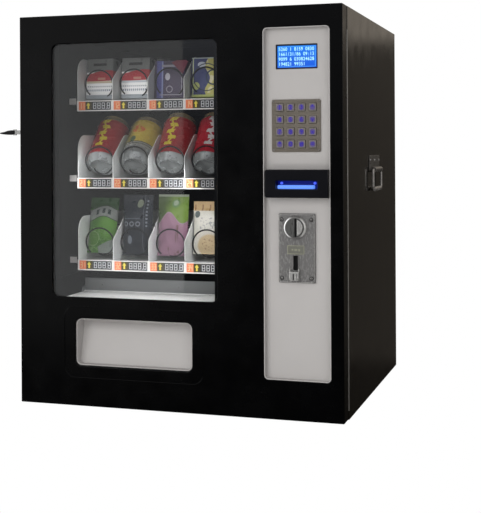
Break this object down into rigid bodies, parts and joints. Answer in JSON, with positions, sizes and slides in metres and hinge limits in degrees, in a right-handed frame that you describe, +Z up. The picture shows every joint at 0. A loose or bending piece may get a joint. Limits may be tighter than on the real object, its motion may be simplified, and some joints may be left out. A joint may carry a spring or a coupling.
{
  "type": "snack vending machine",
  "caption": "Counter-top snack vending machine: steel cabinet, hinged glazed door with keypad and payment column, coil trays, push-in delivery flap.",
  "frame": {"origin": "centre of the flat base, on the surface the machine stands on", "axes": "+X right as seen from the front, +Y to the back, +Z up"},
  "size_m": [0.6775, 0.617, 0.725],
  "materials": {
    "black_paint": "satin gloss black powder coat",
    "grey_paint": "satin light-grey paint",
    "white_paint": "satin white paint",
    "steel": "brushed",
    "key_metal": "satin keys",
    "chrome": "polished plating",
    "black_plastic": "fine moulded grain",
    "black_wire": "satin coated spring wire",
    "window_glass": "clear"
  },
  "bodies": {
    "cabinet": {"cabinet_shell": "black_paint", "back_panel": "black_paint", "partition": "black_paint", "tray_rack_left": "black_paint", "delivery_chute": "grey_paint", "control_box": "steel", "power_cord": "black_plastic", "hinge_leaf_cabinet": "steel", "handle_plate_right": "chrome", "handle_plate_left": "chrome"},
    "door": {"door_panel": "black_paint", "window_pane": "window_glass", "control_panel": "grey_paint", "display_module": "black_plastic", "keypad_plate": "steel", "note_acceptor": "black_plastic", "coin_faceplate": "chrome", "coin_mech": "black_plastic", "door_lock": "chrome", "hinge_leaf_door": "steel"},
    "baffle": {"drop_baffle": "white_paint"},
    "flap": {"delivery_flap": "grey_paint"},
    "reject_button": {"coin_reject_button": "chrome"},
    "lock_plug": {"lock_key": "steel"},
    "bail_right": {"handle_bail_right": "chrome"},
    "bail_left": {"handle_bail_left": "chrome"},
    "tray_1": {"tray_1": "white_paint", "motor_bank_1": "black_plastic"},
    "coil_11": {"coil_11": "black_wire"},
    "coil_12": {"coil_12": "black_wire"},
    "coil_13": {"coil_13": "black_wire"},
    "coil_14": {"coil_14": "black_wire"},
    "tray_2": {"tray_2": "white_paint", "motor_bank_2": "black_plastic"},
    "coil_21": {"coil_21": "black_wire"},
    "coil_22": {"coil_22": "black_wire"},
    "coil_23": {"coil_23": "black_wire"},
    "coil_24": {"coil_24": "black_wire"},
    "tray_3": {"tray_3": "white_paint", "motor_bank_3": "black_plastic"},
    "coil_31": {"coil_31": "black_wire"},
    "coil_32": {"coil_32": "black_wire"},
    "coil_33": {"coil_33": "black_wire"},
    "coil_34": {"coil_34": "black_wire"},
    "key_11": {"key_11": "key_metal"},
    "key_12": {"key_12": "key_metal"},
    "key_13": {"key_13": "key_metal"},
    "key_14": {"key_14": "key_metal"},
    "key_21": {"key_21": "key_metal"},
    "key_22": {"key_22": "key_metal"},
    "key_23": {"key_23": "key_metal"},
    "key_24": {"key_24": "key_metal"},
    "key_31": {"key_31": "key_metal"},
    "key_32": {"key_32": "key_metal"},
    "key_33": {"key_33": "key_metal"},
    "key_34": {"key_34": "key_metal"},
    "key_41": {"key_41": "key_metal"},
    "key_42": {"key_42": "key_metal"},
    "key_43": {"key_43": "key_metal"},
    "key_44": {"key_44": "key_metal"}
  },
  "joints": [
    {"name": "door_swing", "type": "hinge", "parent": "cabinet", "child": "door", "pos_m": [0.3062, -0.25, 0.35], "axis": [0, 0, 1], "range_deg": [0, 110]},
    {"name": "flap_push", "type": "hinge", "parent": "door", "child": "flap", "pos_m": [-0.08225, -0.252, 0.16], "axis": [1, 0, 0], "range_deg": [0, 50]},
    {"name": "baffle_drop", "type": "hinge", "parent": "cabinet", "child": "baffle", "pos_m": [-0.091, -0.151, 0.196], "axis": [1, 0, 0], "range_deg": [0, 40]},
    {"name": "coin_reject_press", "type": "slide", "parent": "door", "child": "reject_button", "axis": [0, 1, 0], "range_m": [0, 0.004]},
    {"name": "lock_turn", "type": "hinge", "parent": "door", "child": "lock_plug", "pos_m": [-0.3075, -0.2715, 0.509], "axis": [-1, 0, 0], "range_deg": [0, 90]},
    {"name": "handle_right_lift", "type": "hinge", "parent": "cabinet", "child": "bail_right", "pos_m": [0.314, 0.015, 0.434], "axis": [0, -1, 0], "range_deg": [0, 90]},
    {"name": "handle_left_lift", "type": "hinge", "parent": "cabinet", "child": "bail_left", "pos_m": [-0.314, 0.015, 0.434], "axis": [0, 1, 0], "range_deg": [0, 90]},
    {"name": "tray_1_slide", "type": "slide", "parent": "cabinet", "child": "tray_1", "axis": [0, -1, 0], "range_m": [0, 0.055]},
    {"name": "vend_coil_11_turn", "type": "hinge", "parent": "tray_1", "child": "coil_11", "pos_m": [-0.20125, 0, 0.604], "axis": [0, 1, 0], "range_deg": [0, 360]},
    {"name": "vend_coil_12_turn", "type": "hinge", "parent": "tray_1", "child": "coil_12", "pos_m": [-0.12775, 0, 0.604], "axis": [0, 1, 0], "range_deg": [0, 360]},
    {"name": "vend_coil_13_turn", "type": "hinge", "parent": "tray_1", "child": "coil_13", "pos_m": [-0.05425, 0, 0.604], "axis": [0, 1, 0], "range_deg": [0, 360]},
    {"name": "vend_coil_14_turn", "type": "hinge", "parent": "tray_1", "child": "coil_14", "pos_m": [0.01925, 0, 0.604], "axis": [0, 1, 0], "range_deg": [0, 360]},
    {"name": "tray_2_slide", "type": "slide", "parent": "cabinet", "child": "tray_2", "axis": [0, -1, 0], "range_m": [0, 0.055]},
    {"name": "vend_coil_21_turn", "type": "hinge", "parent": "tray_2", "child": "coil_21", "pos_m": [-0.20125, 0, 0.454], "axis": [0, 1, 0], "range_deg": [0, 360]},
    {"name": "vend_coil_22_turn", "type": "hinge", "parent": "tray_2", "child": "coil_22", "pos_m": [-0.12775, 0, 0.454], "axis": [0, 1, 0], "range_deg": [0, 360]},
    {"name": "vend_coil_23_turn", "type": "hinge", "parent": "tray_2", "child": "coil_23", "pos_m": [-0.05425, 0, 0.454], "axis": [0, 1, 0], "range_deg": [0, 360]},
    {"name": "vend_coil_24_turn", "type": "hinge", "parent": "tray_2", "child": "coil_24", "pos_m": [0.01925, 0, 0.454], "axis": [0, 1, 0], "range_deg": [0, 360]},
    {"name": "tray_3_slide", "type": "slide", "parent": "cabinet", "child": "tray_3", "axis": [0, -1, 0], "range_m": [0, 0.055]},
    {"name": "vend_coil_31_turn", "type": "hinge", "parent": "tray_3", "child": "coil_31", "pos_m": [-0.20125, 0, 0.295], "axis": [0, 1, 0], "range_deg": [0, 360]},
    {"name": "vend_coil_32_turn", "type": "hinge", "parent": "tray_3", "child": "coil_32", "pos_m": [-0.12775, 0, 0.295], "axis": [0, 1, 0], "range_deg": [0, 360]},
    {"name": "vend_coil_33_turn", "type": "hinge", "parent": "tray_3", "child": "coil_33", "pos_m": [-0.05425, 0, 0.295], "axis": [0, 1, 0], "range_deg": [0, 360]},
    {"name": "vend_coil_34_turn", "type": "hinge", "parent": "tray_3", "child": "coil_34", "pos_m": [0.01925, 0, 0.295], "axis": [0, 1, 0], "range_deg": [0, 360]},
    {"name": "key_11_press", "type": "slide", "parent": "door", "child": "key_11", "axis": [0, 1, 0], "range_m": [0, 0.002]},
    {"name": "key_12_press", "type": "slide", "parent": "door", "child": "key_12", "axis": [0, 1, 0], "range_m": [0, 0.002]},
    {"name": "key_13_press", "type": "slide", "parent": "door", "child": "key_13", "axis": [0, 1, 0], "range_m": [0, 0.002]},
    {"name": "key_14_press", "type": "slide", "parent": "door", "child": "key_14", "axis": [0, 1, 0], "range_m": [0, 0.002]},
    {"name": "key_21_press", "type": "slide", "parent": "door", "child": "key_21", "axis": [0, 1, 0], "range_m": [0, 0.002]},
    {"name": "key_22_press", "type": "slide", "parent": "door", "child": "key_22", "axis": [0, 1, 0], "range_m": [0, 0.002]},
    {"name": "key_23_press", "type": "slide", "parent": "door", "child": "key_23", "axis": [0, 1, 0], "range_m": [0, 0.002]},
    {"name": "key_24_press", "type": "slide", "parent": "door", "child": "key_24", "axis": [0, 1, 0], "range_m": [0, 0.002]},
    {"name": "key_31_press", "type": "slide", "parent": "door", "child": "key_31", "axis": [0, 1, 0], "range_m": [0, 0.002]},
    {"name": "key_32_press", "type": "slide", "parent": "door", "child": "key_32", "axis": [0, 1, 0], "range_m": [0, 0.002]},
    {"name": "key_33_press", "type": "slide", "parent": "door", "child": "key_33", "axis": [0, 1, 0], "range_m": [0, 0.002]},
    {"name": "key_34_press", "type": "slide", "parent": "door", "child": "key_34", "axis": [0, 1, 0], "range_m": [0, 0.002]},
    {"name": "key_41_press", "type": "slide", "parent": "door", "child": "key_41", "axis": [0, 1, 0], "range_m": [0, 0.002]},
    {"name": "key_42_press", "type": "slide", "parent": "door", "child": "key_42", "axis": [0, 1, 0], "range_m": [0, 0.002]},
    {"name": "key_43_press", "type": "slide", "parent": "door", "child": "key_43", "axis": [0, 1, 0], "range_m": [0, 0.002]},
    {"name": "key_44_press", "type": "slide", "parent": "door", "child": "key_44", "axis": [0, 1, 0], "range_m": [0, 0.002]}
  ]
}
